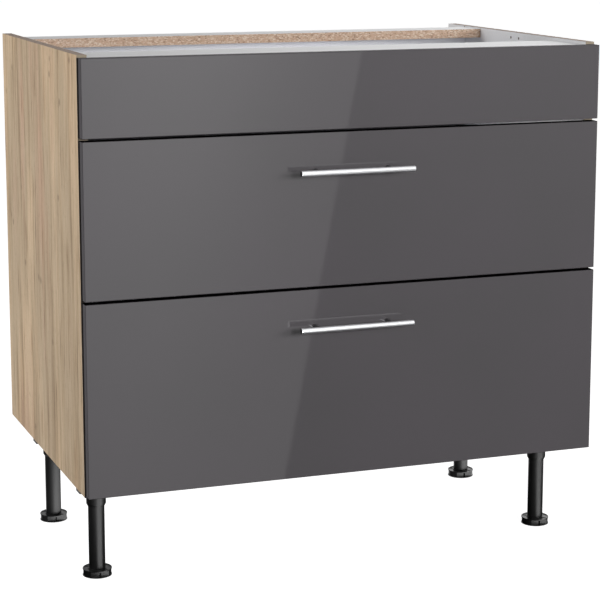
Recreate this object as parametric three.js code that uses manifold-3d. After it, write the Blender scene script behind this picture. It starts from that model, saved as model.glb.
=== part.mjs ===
// Kitchen base cabinet for a built-in hob: a flat-pack carcass on four screw-foot legs, with a fixed
// front above two pull-outs that run on full-extension steel runners.
//
// Millimetres, +Z up. While it is built, x = 0 is the middle of the cabinet, y = 0 is the outer face
// of the fronts with +Y towards the wall, and z = 0 is the floor. The finished group is moved along Y
// so that its origin lies under the middle of its bounding box.

import * as THREE from "three";
import { mergeVertices } from "three/addons/utils/BufferGeometryUtils.js";
import Module from "manifold-3d";

// ---------------------------------------------------------------------------------------------
// Driving dimensions
// ---------------------------------------------------------------------------------------------

const FIT = 0.25; // assembly clearance between pieces that are joined
const RUN = 0.5; // running clearance between pieces that slide

// Carcass
const CARCASS_WIDTH = 900;
const CARCASS_HEIGHT = 710;
const BOARD = 16; // laminated chipboard
const BACK_THICKNESS = 3; // hardboard
const BACK_CLEARANCE = 34; // between the cabinet members of the runners and the back panel
const BACK_INSET = 74; // pipe space between the back panel and the rear edges of the sides
const BACK_TOP_DROP = 3; // back panel below the top of the sides
const GROOVE_DEPTH = 6;
const FRONT_RAIL_DEPTH = 121;
const FRONT_RAIL_DROP = 5; // below the top of the sides
const REAR_RAIL_DEPTH = 70;
const REAR_RAIL_DROP = 2;
const FIXING_HOLE_DIAMETER = 5; // two worktop fixing holes in each side
const FIXING_HOLE_DEPTH = 9;
const FIXING_HOLE_DROP = 10; // below the top of the sides
const FIXING_HOLE_SETBACK = 254; // first hole behind the front edges of the sides
const FIXING_HOLE_SPACING = 32;

// Fronts
const FRONT_THICKNESS = 19;
const FRONT_STANDOFF = 2; // bumper gap between fronts and carcass
const FRONT_SIDE_REVEAL = 1;
const FRONT_TOP_REVEAL = 4;
const FRONT_BOTTOM_REVEAL = 3;
const FRONT_GAP = 4;
const FIXED_FRONT_HEIGHT = 125;
const LOWER_FRONT_HEIGHT = 317;
const FRONT_EDGE_RADIUS = 1;

// Angle brackets that hold the fixed front
const BRACKET_SHEET = 2;
const BRACKET_FRONT_ARM = 30;
const BRACKET_SIDE_ARM = 45;
const BRACKET_HEIGHT = 60;

// Bar handles
const HANDLE_LENGTH = 198;
const HANDLE_DIAMETER = 10;
const HANDLE_STANDOFF = 30; // bar axis in front of the fronts
const HANDLE_POST_SPACING = 128;
const HANDLE_POST_DIAMETER = 8;
const HANDLE_DROP = 62; // bar axis below the top edge of its front
const HANDLE_CHAMFER = 0.6;

// Legs
const LEG_HEIGHT = 165;
const LEG_SIDE_INSET = 42.5; // leg axis from the outer face of the side
const LEG_FRONT_INSET = 99; // front leg axis behind the front edge of the carcass
const LEG_SPACING = 321; // front axis to rear axis
const TUBE_DIAMETER = 27.5;
const TUBE_BORE = 20;
const COLLAR_WALL = 2.25;
const COLLAR_LENGTH = 40;
const COLLAR_CHAMFER = 1.75;
const SOCKET_PLATE_SIZE = 64;
const SOCKET_PLATE_THICKNESS = 4;
const SOCKET_LUG_WIDTH = 25; // lug that carries the side board
const SOCKET_LUG_REACH = 62.5; // front edge of the lug, in front of the leg axis
const SOCKET_LUG_ROOT = 22; // width of the arm that joins the lug to the plate
const GUSSET_HEIGHT = 24;
const GUSSET_THICKNESS = 2.5;
const FOOT_DIAMETER = 49;
const FOOT_HEIGHT = 12;
const FOOT_SOLE_HEIGHT = 1; // thin round sole
const FOOT_RIM_HEIGHT = 1.7; // round rim at the top of the disc
const FOOT_WAIST_DIAMETER = 46.8; // between sole and rim, with a flat for a spanner front and rear
const FOOT_FLATS_WIDTH = 35.3;
const FOOT_SLOT_WIDTH = 3.5; // screwdriver slot in the middle of each flat
const FOOT_SLOT_DEPTH = 3.5;
const FOOT_BOSS_DIAMETER = 30; // raised ring that the tube stands on
const FOOT_DISH_DEPTH = 1; // shallow dish between the boss and the rim's border
const FOOT_DISH_BORDER = 2;
const FOOT_RIB_WIDTH = 2;
const FOOT_SCREW_LENGTH = 42;

// Runners: sheet-steel profiles, sized across (u, inwards from the side) and up (w)
const RUNNER_SHEET = 1.5;
const RUNNER_LENGTH = 450;
const RUNNER_SETBACK = 2; // cabinet member behind the front edges of the sides
const RUNNER_RISE = 28; // runner base above the bottom edge of its drawer front
const RUNNER_AXIS = 20; // middle of the rail, inwards from the side
const RUNNER_FLANGE_HEIGHT = 38;
const RUNNER_HOLE_DIAMETER = 6;
const RUNNER_HOLE_HEIGHT = 27; // above the runner base
const RUNNER_HOLE_SETBACKS = [35, 259, 355]; // behind the front end of the cabinet member
const RAIL_HEAD_WIDTH = 12;
const RAIL_HEAD_HEIGHT = 10; // underside of the rail's head above the runner base
const MIDDLE_FLANGE = 4; // outward flanges of the middle member
const DRAWER_LIP = 4; // inward lips of the drawer member
const MIDDLE_LENGTH = 400;
const MIDDLE_SETBACK = 40; // middle member behind the front end of the cabinet member
const DRAWER_MEMBER_SHORT = 12; // drawer member shorter than the drawer side

// Drawers
const SIDE_SHEET = 1;
const SIDE_WIDTH = 15;
const SIDE_HEIGHT = 83;
const SIDE_TOP_RADIUS = 4;
const SIDE_SHELF = 14; // shelf that the drawer bottom lies on
const ROD_DIAMETER = 10;
const ROD_HEIGHT = 175; // rod axis above the runner base
const ROD_SOCKET_LENGTH = 12;
const ROD_SOCKET_WALL = 2;
const HOLDER_SHEET = 2;
const DRAWER_BACK_TOP = 185; // top of the drawer back above the runner base
const BACK_BRACKET_OVERLAP = 22; // width of the bracket's foot behind the drawer back
const BACK_BRACKET_SHEET = 1.5;

const ROUND = 32; // facets of turned pieces
const SMALL_ROUND = 16;
const BEND_FACETS = 4; // for each quarter of a sheet-metal bend

// ---------------------------------------------------------------------------------------------
// Derived planes
// ---------------------------------------------------------------------------------------------

const outerX = CARCASS_WIDTH / 2;
const innerX = outerX - BOARD;
const carcassFront = FRONT_THICKNESS + FRONT_STANDOFF;
const runnerStart = carcassFront + RUNNER_SETBACK;
const backFront = runnerStart + RUNNER_LENGTH + BACK_CLEARANCE;
const backRear = backFront + BACK_THICKNESS;
const carcassRear = backRear + BACK_INSET;
const carcassTop = LEG_HEIGHT + CARCASS_HEIGHT;

const frontHalfWidth = outerX - FRONT_SIDE_REVEAL;
const frontsTop = carcassTop - FRONT_TOP_REVEAL;
const fixedFrontBottom = frontsTop - FIXED_FRONT_HEIGHT;
const lowerFrontBottom = LEG_HEIGHT + FRONT_BOTTOM_REVEAL;
const lowerFrontTop = lowerFrontBottom + LOWER_FRONT_HEIGHT;
const upperFrontBottom = lowerFrontTop + FRONT_GAP;
const upperFrontTop = fixedFrontBottom - FRONT_GAP;

const handleFront = -(HANDLE_STANDOFF + HANDLE_DIAMETER / 2);

// Levels of the nested runner members above the runner base
const railHeadTop = RAIL_HEAD_HEIGHT + RUNNER_SHEET;
const middleTop = railHeadTop + RUN + RUNNER_SHEET;
const drawerMemberTop = middleTop + RUN + RUNNER_SHEET;
const middleLipTop = RAIL_HEAD_HEIGHT - RUN;
const middleLipBottom = middleLipTop - RUNNER_SHEET;
const drawerLipTop = middleLipBottom - RUN;
const drawerLipBottom = drawerLipTop - RUNNER_SHEET;

// Their half-widths about the rail's middle
const stemHalf = RUNNER_SHEET / 2;
const railHeadHalf = RAIL_HEAD_WIDTH / 2;
const middleInnerHalf = railHeadHalf + RUN;
const middleOuterHalf = middleInnerHalf + RUNNER_SHEET;
const middleFlangeHalf = middleOuterHalf + MIDDLE_FLANGE;
const drawerInnerHalf = middleFlangeHalf + RUN;
const drawerOuterHalf = drawerInnerHalf + RUNNER_SHEET;

// Drawer body, in the same u and w
const sideInner = RUNNER_AXIS + drawerOuterHalf;
const sideOuter = sideInner - SIDE_WIDTH;
const sideBase = drawerMemberTop + FIT;
const sideTop = sideBase + SIDE_HEIGHT;
const shelfTop = sideBase + SIDE_SHEET;
const drawerFloorBase = shelfTop + FIT;
const drawerFloorTop = drawerFloorBase + BOARD;
const drawerBoardEdge = sideInner + FIT;
const rodAxis = (sideInner + sideOuter) / 2;
const drawerStart = FRONT_THICKNESS + FIT;
const drawerEnd = FRONT_THICKNESS + RUNNER_LENGTH;

// ---------------------------------------------------------------------------------------------
// Materials
// ---------------------------------------------------------------------------------------------

function finish(color, roughness, metalness = 0) {
  return new THREE.MeshStandardMaterial({ color, roughness, metalness });
}

const oakLaminate = finish(0xb59b7f, 0.55);
const whiteLaminate = finish(0xe4e4e6, 0.5);
const greyLaminate = finish(0x3e3d40, 0.5);
const whiteHardboard = finish(0xdcdcde, 0.6);
const glossAnthracite = finish(0x59575a, 0.08);
const blackPlastic = finish(0x1c1c1d, 0.45);
const satinSteel = finish(0xc9cacc, 0.25, 1);
const zincSteel = finish(0xa9adb0, 0.35, 1);
const greyPaintedSteel = finish(0x9a9da1, 0.4, 0.3);

// ---------------------------------------------------------------------------------------------
// Shaping
// ---------------------------------------------------------------------------------------------

const wasm = await Module();
wasm.setup();

function toSolid(geometry) {
  const positions = new THREE.BufferGeometry();
  positions.setAttribute("position", geometry.getAttribute("position"));
  positions.setIndex(geometry.getIndex());
  const merged = mergeVertices(positions, 1e-3);
  return new wasm.Manifold(
    new wasm.Mesh({
      numProp: 3,
      vertProperties: merged.getAttribute("position").array,
      triVerts: new Uint32Array(merged.getIndex().array),
    }),
  );
}

function toGeometry(solid) {
  const mesh = solid.getMesh();
  const geometry = new THREE.BufferGeometry();
  geometry.setAttribute("position", new THREE.BufferAttribute(mesh.vertProperties, 3));
  geometry.setIndex(new THREE.BufferAttribute(mesh.triVerts, 1));
  geometry.computeVertexNormals();
  return geometry;
}

function joined(...geometries) {
  return toGeometry(geometries.map(toSolid).reduce((whole, piece) => whole.add(piece)));
}

function cut(geometry, ...tools) {
  return toGeometry(tools.map(toSolid).reduce((rest, tool) => rest.subtract(tool), toSolid(geometry)));
}

function outline(points) {
  return new THREE.Shape(points.map(([across, up]) => new THREE.Vector2(across, up)));
}

function block(x0, x1, y0, y1, z0, z1) {
  return new THREE.BoxGeometry(x1 - x0, y1 - y0, z1 - z0).translate(
    (x0 + x1) / 2,
    (y0 + y1) / 2,
    (z0 + z1) / 2,
  );
}

// A profile in (x, y), extruded upwards
function upright(shape, z0, z1, arcFacets = SMALL_ROUND) {
  return new THREE.ExtrudeGeometry(shape, {
    depth: z1 - z0,
    bevelEnabled: false,
    curveSegments: arcFacets / 2,
  }).translate(0, 0, z0);
}

// A profile in (x, z), extruded from front to back
function lengthwise(shape, y0, y1, arcFacets = SMALL_ROUND) {
  return upright(shape, 0, y1 - y0, arcFacets)
    .rotateX(Math.PI / 2)
    .translate(0, y1, 0);
}

// A profile of (radius, height) points, turned about the vertical
function turned(profile, facets = ROUND) {
  const points = profile.map(([radius, height]) => new THREE.Vector2(radius, height));
  return new THREE.LatheGeometry(points, facets).rotateX(Math.PI / 2);
}

// A straight round piece from front to back, about the axis (x, z)
function roundLengthwise(x, z, radius, y0, y1) {
  return new THREE.CylinderGeometry(radius, radius, y1 - y0, SMALL_ROUND).translate(x, (y0 + y1) / 2, z);
}

// A drill across the cabinet, centred on (x, y, z)
function crossHole(x, y, z, diameter, length = 2 * RUNNER_SHEET) {
  return new THREE.CylinderGeometry(diameter / 2, diameter / 2, length, SMALL_ROUND)
    .rotateZ(Math.PI / 2)
    .translate(x, y, z);
}

const cabinet = new THREE.Group();

function addPiece(name, geometry, material, parent = cabinet) {
  const piece = new THREE.Mesh(geometry, material);
  piece.name = name;
  parent.add(piece);
  return piece;
}

// A frame at the inner face of each side: its +X runs inwards, and the right one is mirrored
const sideFrames = [
  ["left", 1],
  ["right", -1],
].map(([side, inwards]) => {
  const frame = new THREE.Group();
  frame.position.x = -inwards * innerX;
  frame.scale.x = inwards;
  cabinet.add(frame);
  return { side, frame };
});

// ---------------------------------------------------------------------------------------------
// Carcass
// ---------------------------------------------------------------------------------------------

// Side board with its groove for the back panel and two fixing holes, drawn in its side frame
function sideBoard() {
  const grooveFront = backFront - FIT;
  const grooveRear = backRear + FIT;
  const floor = -GROOVE_DEPTH - FIT;
  const plan = outline([
    [-BOARD, carcassFront],
    [0, carcassFront],
    [0, grooveFront],
    [floor, grooveFront],
    [floor, grooveRear],
    [0, grooveRear],
    [0, carcassRear],
    [-BOARD, carcassRear],
  ]);
  const holes = [0, 1].map((step) =>
    crossHole(
      0,
      carcassFront + FIXING_HOLE_SETBACK + step * FIXING_HOLE_SPACING,
      carcassTop - FIXING_HOLE_DROP,
      FIXING_HOLE_DIAMETER,
      2 * FIXING_HOLE_DEPTH,
    ),
  );
  return cut(upright(plan, LEG_HEIGHT, carcassTop), ...holes);
}

// A rail that lies flat between the sides
function rail(y0, depth, drop) {
  const half = innerX - FIT;
  const top = carcassTop - drop;
  return block(-half, half, y0, y0 + depth, top - BOARD, top);
}

for (const { side, frame } of sideFrames) {
  addPiece(`side_panel_${side}`, sideBoard(), oakLaminate, frame);
}
addPiece(
  "bottom_panel",
  block(FIT - innerX, innerX - FIT, carcassFront, backFront - FIT, LEG_HEIGHT, LEG_HEIGHT + BOARD),
  whiteLaminate,
);
addPiece(
  "back_panel",
  block(
    -innerX - GROOVE_DEPTH,
    innerX + GROOVE_DEPTH,
    backFront,
    backRear,
    LEG_HEIGHT,
    carcassTop - BACK_TOP_DROP,
  ),
  whiteHardboard,
);
addPiece("front_rail", rail(carcassFront, FRONT_RAIL_DEPTH, FRONT_RAIL_DROP), whiteLaminate);
addPiece(
  "rear_rail",
  rail(backFront - FIT - REAR_RAIL_DEPTH, REAR_RAIL_DEPTH, REAR_RAIL_DROP),
  whiteLaminate,
);

// ---------------------------------------------------------------------------------------------
// Fronts, their handles and the brackets of the fixed one
// ---------------------------------------------------------------------------------------------

// A front panel with eased edges all round
function frontPanel(bottom, top) {
  const inset = FRONT_EDGE_RADIUS;
  const half = frontHalfWidth - inset;
  const face = outline([
    [-half, bottom + inset],
    [half, bottom + inset],
    [half, top - inset],
    [-half, top - inset],
  ]);
  return new THREE.ExtrudeGeometry(face, {
    depth: FRONT_THICKNESS - 2 * inset,
    bevelSize: inset,
    bevelThickness: inset,
    bevelSegments: 2,
  })
    .rotateX(Math.PI / 2)
    .translate(0, FRONT_THICKNESS - inset, 0);
}

// Round bar on two posts, welded into one piece
function barHandle(axisHeight) {
  const radius = HANDLE_DIAMETER / 2;
  const end = HANDLE_LENGTH / 2;
  const bar = turned(
    [
      [0, -end],
      [radius - HANDLE_CHAMFER, -end],
      [radius, HANDLE_CHAMFER - end],
      [radius, end - HANDLE_CHAMFER],
      [radius - HANDLE_CHAMFER, end],
      [0, end],
    ],
    24,
  )
    .rotateY(Math.PI / 2)
    .translate(0, -HANDLE_STANDOFF, axisHeight);
  const posts = [-1, 1].map((sign) =>
    roundLengthwise(
      (sign * HANDLE_POST_SPACING) / 2,
      axisHeight,
      HANDLE_POST_DIAMETER / 2,
      -HANDLE_STANDOFF,
      -FIT,
    ),
  );
  return joined(bar, ...posts);
}

addPiece("fixed_front", frontPanel(fixedFrontBottom, frontsTop), glossAnthracite);

const fixedFrontMiddle = (fixedFrontBottom + frontsTop) / 2;
for (const { side, frame } of sideFrames) {
  const start = FRONT_THICKNESS + FIT;
  const angle = outline([
    [FIT, start],
    [BRACKET_FRONT_ARM, start],
    [BRACKET_FRONT_ARM, start + BRACKET_SHEET],
    [FIT + BRACKET_SHEET, start + BRACKET_SHEET],
    [FIT + BRACKET_SHEET, start + BRACKET_SIDE_ARM],
    [FIT, start + BRACKET_SIDE_ARM],
  ]);
  const bottom = fixedFrontMiddle - BRACKET_HEIGHT / 2;
  addPiece(
    `fixed_front_bracket_${side}`,
    upright(angle, bottom, bottom + BRACKET_HEIGHT),
    zincSteel,
    frame,
  );
}

// ---------------------------------------------------------------------------------------------
// Legs: socket under the carcass, tube, screw foot
// ---------------------------------------------------------------------------------------------

// Each leg is drawn about its own axis, with -X pointing to the outer face of the side

// Plate with a lug that reaches under the side board, a collar, and four gussets between them
function legSocket() {
  const half = SOCKET_PLATE_SIZE / 2;
  const plateTop = LEG_HEIGHT - FIT;
  const plateBottom = plateTop - SOCKET_PLATE_THICKNESS;
  const lugRear = SOCKET_LUG_WIDTH - SOCKET_LUG_REACH;
  const plate = upright(
    outline([
      [-LEG_SIDE_INSET, -SOCKET_LUG_REACH],
      [SOCKET_LUG_ROOT - half, -SOCKET_LUG_REACH],
      [SOCKET_LUG_ROOT - half, -half],
      [half, -half],
      [half, half],
      [-half, half],
      [-half, lugRear],
      [-LEG_SIDE_INSET, lugRear],
    ]),
    plateBottom,
    plateTop,
  );
  const bore = TUBE_DIAMETER / 2 + RUN;
  const outside = bore + COLLAR_WALL;
  const collarBottom = plateBottom - COLLAR_LENGTH;
  const seam = plateBottom + SOCKET_PLATE_THICKNESS / 2;
  const collar = turned([
    [bore, collarBottom],
    [outside - COLLAR_CHAMFER, collarBottom],
    [outside, collarBottom + 2 * COLLAR_CHAMFER],
    [outside, seam],
    [bore, seam],
    [bore, collarBottom],
  ]);
  const wallMiddle = (bore + outside) / 2;
  const web = outline([
    [wallMiddle, seam],
    [wallMiddle, plateBottom - GUSSET_HEIGHT],
    [outside, plateBottom - GUSSET_HEIGHT],
    [half - GUSSET_THICKNESS, plateBottom],
    [half - GUSSET_THICKNESS, seam],
  ]);
  const gussets = [0, 1, 2, 3].map((quarter) =>
    lengthwise(web, -GUSSET_THICKNESS / 2, GUSSET_THICKNESS / 2).rotateZ((quarter * Math.PI) / 2),
  );
  const body = joined(plate, collar, ...gussets);
  const mouth = collarBottom - COLLAR_WALL;
  const clearBore = turned([
    [0, mouth],
    [bore, mouth],
    [bore, plateBottom],
    [0, plateBottom],
  ]);
  return cut(body, clearBore);
}

function legTube() {
  const section = new THREE.Shape().absarc(0, 0, TUBE_DIAMETER / 2, 0, 2 * Math.PI);
  section.holes.push(new THREE.Path().absarc(0, 0, TUBE_BORE / 2, 0, 2 * Math.PI));
  const top = LEG_HEIGHT - FIT - SOCKET_PLATE_THICKNESS - FIT;
  return upright(section, FOOT_HEIGHT + RUN, top, ROUND);
}

// Round disc with spanner flats and slots under its rim, a ribbed dish on top, and the screw
function legFoot() {
  const rim = FOOT_DIAMETER / 2;
  const boss = FOOT_BOSS_DIAMETER / 2;
  const border = rim - FOOT_DISH_BORDER;
  const screw = TUBE_BORE / 2 - RUN;
  const screwTop = FOOT_HEIGHT + FOOT_SCREW_LENGTH;
  const rimBottom = FOOT_HEIGHT - FOOT_RIM_HEIGHT;
  const dishFloor = FOOT_HEIGHT - FOOT_DISH_DEPTH;
  const disc = turned([
    [0, 0],
    [rim, 0],
    [rim, FOOT_SOLE_HEIGHT],
    [boss, FOOT_SOLE_HEIGHT],
    [boss, rimBottom],
    [rim, rimBottom],
    [rim, FOOT_HEIGHT],
    [border, FOOT_HEIGHT],
    [border, dishFloor],
    [boss, dishFloor],
    [boss, FOOT_HEIGHT],
    [screw, FOOT_HEIGHT],
    [screw, screwTop],
    [0, screwTop],
  ]);
  const waistArc = Math.asin(FOOT_FLATS_WIDTH / FOOT_WAIST_DIAMETER);
  const waist = new THREE.Shape();
  waist.absarc(0, 0, FOOT_WAIST_DIAMETER / 2, -waistArc, waistArc);
  waist.absarc(0, 0, FOOT_WAIST_DIAMETER / 2, Math.PI - waistArc, Math.PI + waistArc);
  const grip = upright(waist, FOOT_SOLE_HEIGHT / 2, (rimBottom + dishFloor) / 2, SMALL_ROUND);
  const ribs = [0, 1, 2, 3].map((quarter) =>
    block(
      boss - FOOT_RIB_WIDTH / 2,
      border + FOOT_DISH_BORDER / 2,
      -FOOT_RIB_WIDTH / 2,
      FOOT_RIB_WIDTH / 2,
      (rimBottom + dishFloor) / 2,
      FOOT_HEIGHT - FOOT_DISH_DEPTH / 4,
    ).rotateZ(((quarter + 0.5) * Math.PI) / 2),
  );
  const slots = [1, -1].map((facing) =>
    block(
      -FOOT_SLOT_WIDTH / 2,
      FOOT_SLOT_WIDTH / 2,
      FOOT_FLATS_WIDTH / 2 - FOOT_SLOT_DEPTH,
      rim,
      FOOT_SOLE_HEIGHT,
      rimBottom,
    ).rotateZ((facing * Math.PI) / 2 - Math.PI / 2),
  );
  return cut(joined(disc, grip, ...ribs), ...slots);
}

for (const [row, setback] of [
  ["front", LEG_FRONT_INSET],
  ["rear", LEG_FRONT_INSET + LEG_SPACING],
]) {
  for (const { side, frame } of sideFrames) {
    const leg = new THREE.Group();
    leg.position.set(LEG_SIDE_INSET - BOARD, carcassFront + setback, 0);
    frame.add(leg);
    addPiece(`leg_socket_${row}_${side}`, legSocket(), blackPlastic, leg);
    addPiece(`leg_tube_${row}_${side}`, legTube(), blackPlastic, leg);
    addPiece(`leg_foot_${row}_${side}`, legFoot(), blackPlastic, leg);
  }
}

// ---------------------------------------------------------------------------------------------
// Runners: cross-sections drawn inwards (u) from the side and upwards (w) from the runner base
// ---------------------------------------------------------------------------------------------

// Mirrors half a section, given from the bottom up the right-hand side, about the rail's middle
function aboutRail(half) {
  const right = half.map(([u, w]) => [RUNNER_AXIS + u, w]);
  const left = half.map(([u, w]) => [RUNNER_AXIS - u, w]).reverse();
  return outline([...right, ...left]);
}

// Angle screwed to the side, with a T-shaped rail standing on its shelf
function cabinetMemberSection() {
  return outline([
    [FIT, 0],
    [RUNNER_AXIS + stemHalf, 0],
    [RUNNER_AXIS + stemHalf, RAIL_HEAD_HEIGHT],
    [RUNNER_AXIS + railHeadHalf, RAIL_HEAD_HEIGHT],
    [RUNNER_AXIS + railHeadHalf, railHeadTop],
    [RUNNER_AXIS - railHeadHalf, railHeadTop],
    [RUNNER_AXIS - railHeadHalf, RAIL_HEAD_HEIGHT],
    [RUNNER_AXIS - stemHalf, RAIL_HEAD_HEIGHT],
    [RUNNER_AXIS - stemHalf, RUNNER_SHEET],
    [FIT + RUNNER_SHEET, RUNNER_SHEET],
    [FIT + RUNNER_SHEET, RUNNER_FLANGE_HEIGHT],
    [FIT, RUNNER_FLANGE_HEIGHT],
  ]);
}

function cabinetMember(start) {
  const profile = lengthwise(cabinetMemberSection(), start, start + RUNNER_LENGTH);
  const holes = RUNNER_HOLE_SETBACKS.map((setback) =>
    crossHole(FIT + RUNNER_SHEET / 2, start + setback, RUNNER_HOLE_HEIGHT, RUNNER_HOLE_DIAMETER),
  );
  return cut(profile, ...holes);
}

// Hat that grips the rail's head from above and carries two outward flanges
function middleMemberSection() {
  return aboutRail([
    [middleInnerHalf, railHeadTop + RUN],
    [middleInnerHalf, middleLipTop],
    [stemHalf + RUN, middleLipTop],
    [stemHalf + RUN, middleLipBottom],
    [middleFlangeHalf, middleLipBottom],
    [middleFlangeHalf, middleLipTop],
    [middleOuterHalf, middleLipTop],
    [middleOuterHalf, middleTop],
  ]);
}

// Channel that grips the middle member's flanges, under the drawer side
function drawerMemberSection() {
  return aboutRail([
    [drawerInnerHalf, middleTop + RUN],
    [drawerInnerHalf, drawerLipTop],
    [drawerInnerHalf - DRAWER_LIP, drawerLipTop],
    [drawerInnerHalf - DRAWER_LIP, drawerLipBottom],
    [drawerOuterHalf, drawerLipBottom],
    [drawerOuterHalf, drawerMemberTop],
  ]);
}

// ---------------------------------------------------------------------------------------------
// Drawers
// ---------------------------------------------------------------------------------------------

// Hollow steel side with a rounded top and a shelf for the drawer bottom
function drawerSideSection() {
  const radius = SIDE_TOP_RADIUS;
  const section = new THREE.Shape();
  section.moveTo(sideOuter, sideBase);
  section.lineTo(sideInner + SIDE_SHELF, sideBase);
  section.lineTo(sideInner + SIDE_SHELF, shelfTop);
  section.lineTo(sideInner, shelfTop);
  section.absarc(sideInner - radius, sideTop - radius, radius, 0, Math.PI / 2);
  section.absarc(sideOuter + radius, sideTop - radius, radius, Math.PI / 2, Math.PI);
  const hollow = new THREE.Path();
  const bend = radius - SIDE_SHEET;
  hollow.moveTo(sideOuter + SIDE_SHEET, shelfTop);
  hollow.lineTo(sideInner - SIDE_SHEET, shelfTop);
  hollow.absarc(sideInner - radius, sideTop - radius, bend, 0, Math.PI / 2);
  hollow.absarc(sideOuter + radius, sideTop - radius, bend, Math.PI / 2, Math.PI);
  section.holes.push(hollow);
  return section;
}

const socketBore = ROD_DIAMETER / 2 + FIT;
const socketOuter = socketBore + ROD_SOCKET_WALL;

// Ring that the rod's end is pushed into
function rodSocket(y0, y1) {
  const ring = new THREE.Shape().absarc(rodAxis, ROD_HEIGHT, socketOuter, 0, 2 * Math.PI);
  ring.holes.push(new THREE.Path().absarc(rodAxis, ROD_HEIGHT, socketBore, 0, 2 * Math.PI));
  return lengthwise(ring, y0, y1);
}

// Upright tab behind the drawer front, standing on the drawer side
function rodHolder() {
  const tab = new THREE.Shape();
  tab.moveTo(rodAxis - socketOuter, sideTop + FIT);
  tab.lineTo(rodAxis + socketOuter, sideTop + FIT);
  tab.absarc(rodAxis, ROD_HEIGHT, socketOuter, 0, Math.PI);
  const back = drawerStart + HOLDER_SHEET;
  return joined(
    lengthwise(tab, drawerStart, back),
    rodSocket(back - HOLDER_SHEET / 2, back + ROD_SOCKET_LENGTH),
  );
}

// Plate across the rear end of the drawer side and the drawer back, up to the rod
function backBracket() {
  const plate = new THREE.Shape();
  plate.moveTo(sideOuter, shelfTop);
  plate.lineTo(drawerBoardEdge + BACK_BRACKET_OVERLAP, shelfTop);
  plate.lineTo(drawerBoardEdge + BACK_BRACKET_OVERLAP, sideTop);
  plate.lineTo(rodAxis + socketOuter, ROD_HEIGHT);
  plate.absarc(rodAxis, ROD_HEIGHT, socketOuter, 0, Math.PI);
  plate.lineTo(sideOuter, sideTop);
  const front = drawerEnd + FIT;
  return joined(
    lengthwise(plate, front, front + BACK_BRACKET_SHEET),
    rodSocket(front - ROD_SOCKET_LENGTH, front + BACK_BRACKET_SHEET / 2),
  );
}

function addDrawer(level, frontBottom, frontTop) {
  const base = frontBottom + RUNNER_RISE;
  const middleStart = runnerStart + MIDDLE_SETBACK;
  const boardHalf = innerX - drawerBoardEdge;

  addPiece(`drawer_front_${level}`, frontPanel(frontBottom, frontTop), glossAnthracite);
  addPiece(`handle_${level}`, barHandle(frontTop - HANDLE_DROP), satinSteel);
  addPiece(
    `drawer_bottom_${level}`,
    block(
      -boardHalf,
      boardHalf,
      drawerStart,
      drawerEnd,
      base + drawerFloorBase,
      base + drawerFloorTop,
    ),
    greyLaminate,
  );
  addPiece(
    `drawer_back_${level}`,
    block(
      -boardHalf,
      boardHalf,
      drawerEnd - BOARD,
      drawerEnd,
      base + drawerFloorTop + FIT,
      base + DRAWER_BACK_TOP,
    ),
    greyLaminate,
  );

  for (const { side, frame } of sideFrames) {
    const runner = new THREE.Group();
    runner.position.z = base;
    frame.add(runner);
    const place = (piece, geometry, material) =>
      addPiece(`${piece}_${level}_${side}`, geometry, material, runner);
    place("cabinet_runner", cabinetMember(runnerStart), zincSteel);
    place(
      "middle_runner",
      lengthwise(middleMemberSection(), middleStart, middleStart + MIDDLE_LENGTH),
      zincSteel,
    );
    place(
      "drawer_runner",
      lengthwise(drawerMemberSection(), drawerStart + RUNNER_SETBACK, drawerEnd - DRAWER_MEMBER_SHORT),
      zincSteel,
    );
    place(
      "drawer_side",
      lengthwise(drawerSideSection(), drawerStart, drawerEnd, BEND_FACETS),
      greyPaintedSteel,
    );
    place(
      "gallery_rod",
      roundLengthwise(
        rodAxis,
        ROD_HEIGHT,
        ROD_DIAMETER / 2,
        drawerStart + HOLDER_SHEET + FIT,
        drawerEnd,
      ),
      greyPaintedSteel,
    );
    place("rod_holder", rodHolder(), greyPaintedSteel);
    place("back_bracket", backBracket(), greyPaintedSteel);
  }
}

addDrawer("upper", upperFrontBottom, upperFrontTop);
addDrawer("lower", lowerFrontBottom, lowerFrontTop);

// ---------------------------------------------------------------------------------------------

cabinet.position.y = -(handleFront + carcassRear) / 2;

export default cabinet;
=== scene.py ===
import math

import bmesh
import bpy
from mathutils import Matrix, Vector


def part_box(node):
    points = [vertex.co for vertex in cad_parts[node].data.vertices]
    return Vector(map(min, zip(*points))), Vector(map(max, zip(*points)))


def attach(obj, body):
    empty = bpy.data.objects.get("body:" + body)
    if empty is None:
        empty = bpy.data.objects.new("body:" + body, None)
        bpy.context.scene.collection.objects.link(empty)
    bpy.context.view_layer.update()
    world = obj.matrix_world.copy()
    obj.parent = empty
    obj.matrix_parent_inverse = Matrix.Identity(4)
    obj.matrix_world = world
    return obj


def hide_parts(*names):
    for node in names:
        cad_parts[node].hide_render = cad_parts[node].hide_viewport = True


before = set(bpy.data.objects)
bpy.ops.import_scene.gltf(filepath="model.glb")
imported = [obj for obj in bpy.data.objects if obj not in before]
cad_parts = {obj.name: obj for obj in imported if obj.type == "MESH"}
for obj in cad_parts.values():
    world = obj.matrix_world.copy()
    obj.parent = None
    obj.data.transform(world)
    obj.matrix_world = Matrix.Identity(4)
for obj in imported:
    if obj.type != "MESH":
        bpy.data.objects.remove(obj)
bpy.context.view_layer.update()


# ---------------------------------------------------------------------------------------------
# Camera
# The photograph is taken from the left of the cabinet and a little above its top, with a long
# lens. The picture is 600 x 600, and its middle lies a little below the lens's axis.
# ---------------------------------------------------------------------------------------------
CAMERA_PLACE = (-1.16405, -3.20756, 1.09930)
CAMERA_TILT = 0.17227  # radians down from level
CAMERA_TURN = 0.35098  # radians to the right of +Y
LENS = 117.128  # millimetres, for a picture 36 mm wide
LENS_SHIFT = -0.08778  # how far up the picture's middle is moved, in picture widths

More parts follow.
